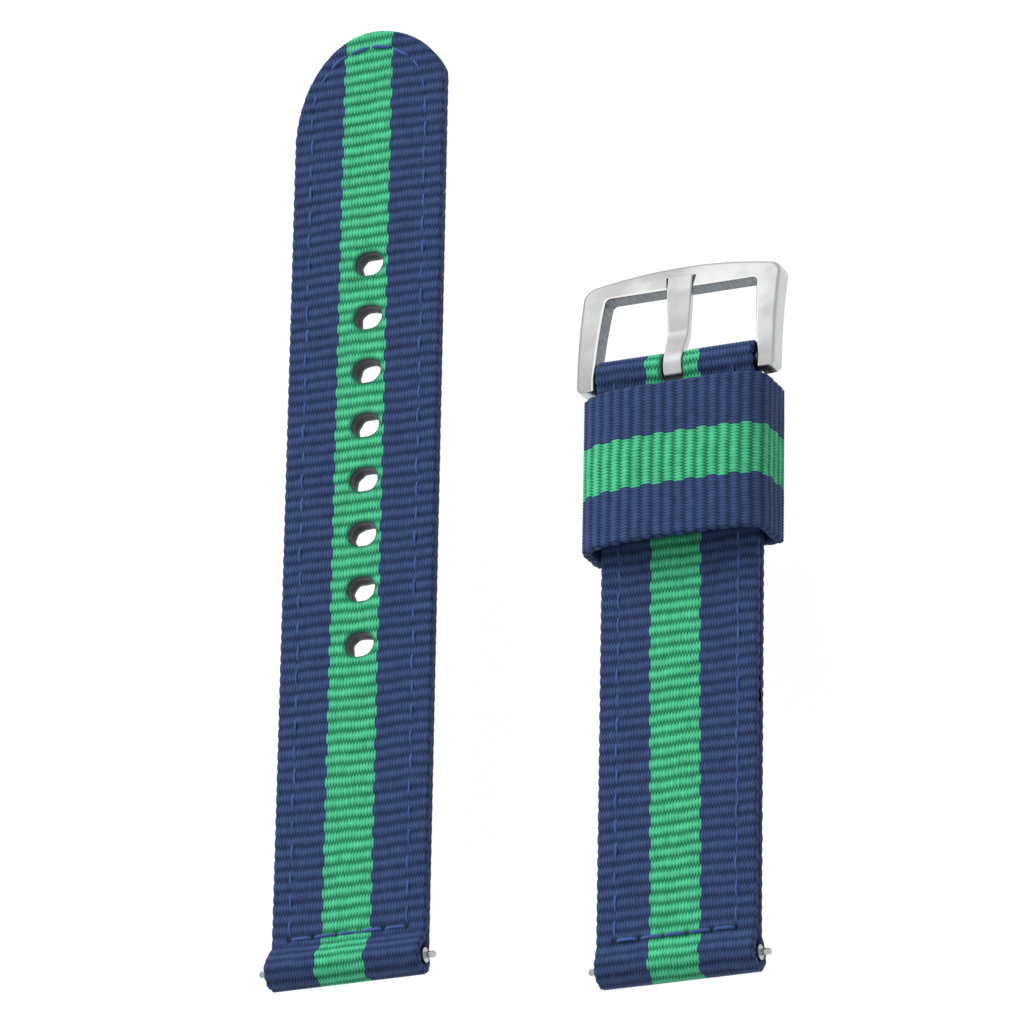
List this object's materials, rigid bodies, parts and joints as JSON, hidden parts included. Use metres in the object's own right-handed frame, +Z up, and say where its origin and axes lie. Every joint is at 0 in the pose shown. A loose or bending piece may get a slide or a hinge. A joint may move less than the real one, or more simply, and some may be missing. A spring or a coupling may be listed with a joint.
{
  "type": "watch strap",
  "caption": "Two-piece woven nylon watch strap with a tongue buckle, a webbing keeper, tongue holes and spring bars in folded, stitched ends.",
  "frame": {"origin": "middle of both pieces laid side by side, on the table under them", "axes": "+X across the straps from the long piece to the short piece, +Y along them towards the tip and the buckle, +Z up from the table"},
  "size_m": [0.0656, 0.1266, 0.008],
  "materials": {
    "webbing": "ribbed plain weave, navy with a green stripe along the middle",
    "thread": "twisted polyester sewing thread",
    "buckle_steel": "fine brushed",
    "bar_steel": "turned",
    "spring_wire": "drawn wire"
  },
  "bodies": {
    "short_strap": {"short_webbing": "webbing", "short_top_thread": "thread", "short_bobbin_thread": "thread"},
    "keeper": {"keeper_webbing": "webbing", "keeper_seam_thread": "thread"},
    "buckle": {"buckle_frame": "buckle_steel", "buckle_bar_tube": "bar_steel", "buckle_bar_spring": "spring_wire"},
    "tongue": {"buckle_tongue": "buckle_steel"},
    "buckle_left_plunger": {"buckle_bar_left_tip": "bar_steel"},
    "buckle_right_plunger": {"buckle_bar_right_tip": "bar_steel"},
    "short_bar": {"short_bar_tube": "bar_steel", "short_bar_spring": "spring_wire"},
    "short_left_plunger": {"short_bar_left_tip": "bar_steel"},
    "short_right_plunger": {"short_bar_right_tip": "bar_steel"},
    "long_strap": {"long_webbing": "webbing", "long_top_thread": "thread", "long_bobbin_thread": "thread"},
    "long_bar": {"long_bar_tube": "bar_steel", "long_bar_spring": "spring_wire"},
    "long_left_plunger": {"long_bar_left_tip": "bar_steel"},
    "long_right_plunger": {"long_bar_right_tip": "bar_steel"}
  },
  "joints": [
    {"name": "frame_hinge", "type": "hinge", "parent": "short_strap", "child": "buckle", "pos_m": [0.0202, 0.01143, 0.00423], "axis": [1, 0, 0], "range_deg": [-60, 55]},
    {"name": "tongue_hinge", "type": "hinge", "parent": "buckle", "child": "tongue", "pos_m": [0.0202, 0.01143, 0.00423], "axis": [1, 0, 0], "range_deg": [0, 45]},
    {"name": "keeper_slide", "type": "slide", "parent": "short_strap", "child": "keeper", "axis": [0, -1, 0], "range_m": [0, 0.045]},
    {"name": "long_strap_lift", "type": "slide", "parent": "short_strap", "child": "long_strap", "axis": [0, 0, 1], "range_m": [0, 0.03]},
    {"name": "long_bar_spin", "type": "hinge", "parent": "long_strap", "child": "long_bar", "pos_m": [-0.0216, -0.05643, 0.00227], "axis": [1, 0, 0], "continuous": true},
    {"name": "short_bar_spin", "type": "hinge", "parent": "short_strap", "child": "short_bar", "pos_m": [0.0202, -0.06103, 0.00227], "axis": [1, 0, 0], "continuous": true},
    {"name": "short_left_press", "type": "slide", "parent": "short_bar", "child": "short_left_plunger", "axis": [1, 0, 0], "range_m": [0, 0.0012], "stiffness_N_per_m": 1500, "springref_m": -0.0005, "deforming": ["short_bar_spring"]},
    {"name": "short_right_press", "type": "slide", "parent": "short_bar", "child": "short_right_plunger", "axis": [-1, 0, 0], "range_m": [0, 0.0012], "stiffness_N_per_m": 1500, "springref_m": -0.0005, "deforming": ["short_bar_spring"]},
    {"name": "long_left_press", "type": "slide", "parent": "long_bar", "child": "long_left_plunger", "axis": [1, 0, 0], "range_m": [0, 0.0012], "stiffness_N_per_m": 1500, "springref_m": -0.0005, "deforming": ["long_bar_spring"]},
    {"name": "long_right_press", "type": "slide", "parent": "long_bar", "child": "long_right_plunger", "axis": [-1, 0, 0], "range_m": [0, 0.0012], "stiffness_N_per_m": 1500, "springref_m": -0.0005, "deforming": ["long_bar_spring"]},
    {"name": "buckle_left_press", "type": "slide", "parent": "buckle", "child": "buckle_left_plunger", "axis": [1, 0, 0], "range_m": [0, 0.0012], "stiffness_N_per_m": 1500, "springref_m": -0.0005, "deforming": ["buckle_bar_spring"]},
    {"name": "buckle_right_press", "type": "slide", "parent": "buckle", "child": "buckle_right_plunger", "axis": [-1, 0, 0], "range_m": [0, 0.0012], "stiffness_N_per_m": 1500, "springref_m": -0.0005, "deforming": ["buckle_bar_spring"]}
  ]
}
